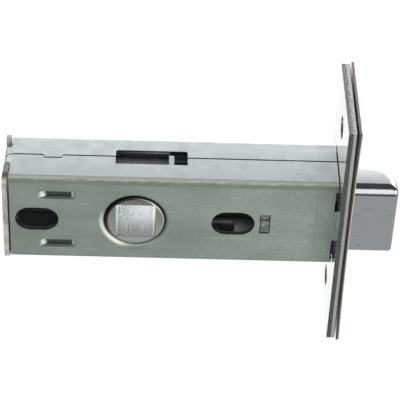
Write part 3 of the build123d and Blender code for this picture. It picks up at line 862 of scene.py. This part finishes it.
def floor_material(colour, glow):
    """Matt white paper: cameras and reflections see it nearly white, with the latch's shadow."""
    material, tree, _ = new_material("matt_white_paper")
    matt = add(tree, "BsdfDiffuse", colour)
    white = add(tree, "Emission", colour, 1.0)
    ray = add(tree, "LightPath").node.outputs
    seen = add(tree, "Math", ray["Is Camera Ray"], ray["Is Glossy Ray"], operation="MAXIMUM")
    seen = add(tree, "Math", seen, ray["Is Transmission Ray"], operation="MAXIMUM")
    add(tree, "OutputMaterial", add(tree, "MixShader", where_all(tree, seen, glow), matt, white))
    return material


def softbox(scene, name, place, width, height, watts):
    """A rectangular area lamp at a place, turned toward LAMP_AIM."""
    lamp = bpy.data.lights.new(name, "AREA")
    lamp.shape = "RECTANGLE"
    lamp.size = width
    lamp.size_y = height
    lamp.energy = watts
    holder = bpy.data.objects.new(name, lamp)
    holder.location = place
    holder.rotation_mode = "QUATERNION"
    holder.rotation_quaternion = (Vector(LAMP_AIM) - Vector(place)).to_track_quat("-Z", "Y")
    scene.collection.objects.link(holder)


def photo_camera(scene):
    """The camera at the photograph's place: right, up and back vectors turned by its roll."""
    pitch, yaw, roll = (math.radians(v) for v in (CAMERA_PITCH, CAMERA_YAW, CAMERA_ROLL))
    outward = math.cos(pitch)
    back = Vector((math.sin(yaw) * outward, -math.cos(yaw) * outward, math.sin(pitch)))
    level = (-back).cross(Vector((0, 0, 1))).normalized()
    upright = level.cross(-back)
    right = level * math.cos(roll) + upright * math.sin(roll)
    up = upright * math.cos(roll) - level * math.sin(roll)
    data = bpy.data.cameras.new("photo_camera")
    data.sensor_width = SENSOR_MM
    data.lens = CAMERA_FOCAL_PX / PHOTO_PX * SENSOR_MM
    data.clip_start = 0.01
    data.clip_end = 20.0
    camera = bpy.data.objects.new("photo_camera", data)
    place = Vector(CAMERA_TARGET_MM) * MM + back * CAMERA_DISTANCE_MM * MM
    turn = Matrix((right, up, back)).transposed().to_4x4()
    camera.matrix_world = Matrix.Translation(place) @ turn
    scene.collection.objects.link(camera)
    scene.camera = camera


def surround_light(scene, strength):
    """An even pale surround."""
    world = bpy.data.worlds.new("soft_surround")
    scene.world = world
    world.use_nodes = True
    tree = world.node_tree
    tree.nodes.clear()
    add(tree, "OutputWorld", add(tree, "Background", (1.0, 1.0, 1.0, 1.0), strength))


class LATCH_OT_stage(bpy.types.Operator):
    """Lays the floor and sets the lamps, the surrounding light and the camera"""
    bl_idname = "latch.stage"
    bl_label = "Stage"

    def execute(self, context):
        scene = context.scene
        stage = scene.latch_stage
        scene.view_settings.view_transform = "Standard"
        photo_camera(scene)
        surround_light(scene, stage.surround)
        low = cad_box[0]
        floor = bpy.data.objects.new("floor", floor_mesh(FLOOR_HALF, low[2] - stage.floor_drop))
        floor.data.materials.append(floor_material(stage.floor_colour, stage.floor_glow))
        scene.collection.objects.link(floor)
        softbox(scene, "back_softbox", (0.0, 0.62, 0.22), BACK_WIDTH, 0.54, 14.0)
        # Three dimmer strips above the back softbox fade out its upper edge
        for elevation, height, watts in BACK_STRIPS:
            slope = math.radians(elevation)
            place = (0.0, STRIP_DISTANCE * math.cos(slope), STRIP_DISTANCE * math.sin(slope))
            softbox(scene, "back_strip_softbox", place, BACK_WIDTH, height, watts)
        softbox(scene, "front_softbox", (-0.06, -0.64, 0.23), 0.90, 0.64, 5.0)
        softbox(scene, "right_softbox", (0.55, -0.30, 0.16), 0.50, 0.40, 2.8)
        return {"FINISHED"}


OPERATORS = (
    LATCH_OT_case,
    LATCH_OT_end_plate,
    LATCH_OT_forends,
    LATCH_OT_bolt,
    LATCH_OT_strips,
    LATCH_OT_follower,
    LATCH_OT_spring,
    LATCH_OT_stage,
)

SETTINGS = {
    "latch_colours": LatchColours,
    "latch_sizes": LatchSizes,
    "latch_stage": LatchStage,
}


class LATCH_PT_looks(bpy.types.Panel):
    """Lists the latch's settings and the steps that dress it"""
    bl_idname = "LATCH_PT_looks"
    bl_label = "Latch Looks"
    bl_space_type = "VIEW_3D"
    bl_region_type = "UI"
    bl_category = "Latch"

    def draw(self, context):
        layout = self.layout
        for name, group in SETTINGS.items():
            column = layout.column(align=True)
            column.label(text=group.__doc__)
            for key in group.__annotations__:
                column.prop(getattr(context.scene, name), key)
        for operator in OPERATORS:
            layout.operator(operator.bl_idname)


def register():
    for item in (*SETTINGS.values(), *OPERATORS, LATCH_PT_looks):
        bpy.utils.register_class(item)
    for name, group in SETTINGS.items():
        setattr(bpy.types.Scene, name, bpy.props.PointerProperty(type=group))


def unregister():
    for name in SETTINGS:
        delattr(bpy.types.Scene, name)
    for item in reversed((*SETTINGS.values(), *OPERATORS, LATCH_PT_looks)):
        bpy.utils.unregister_class(item)


def main():
    register()
    bpy.ops.latch.case()
    bpy.ops.latch.end_plate()
    bpy.ops.latch.forends()
    bpy.ops.latch.bolt()
    bpy.ops.latch.strips()
    bpy.ops.latch.follower()
    bpy.ops.latch.spring()
    bpy.ops.latch.stage()


if __name__ == "__main__":
    main()
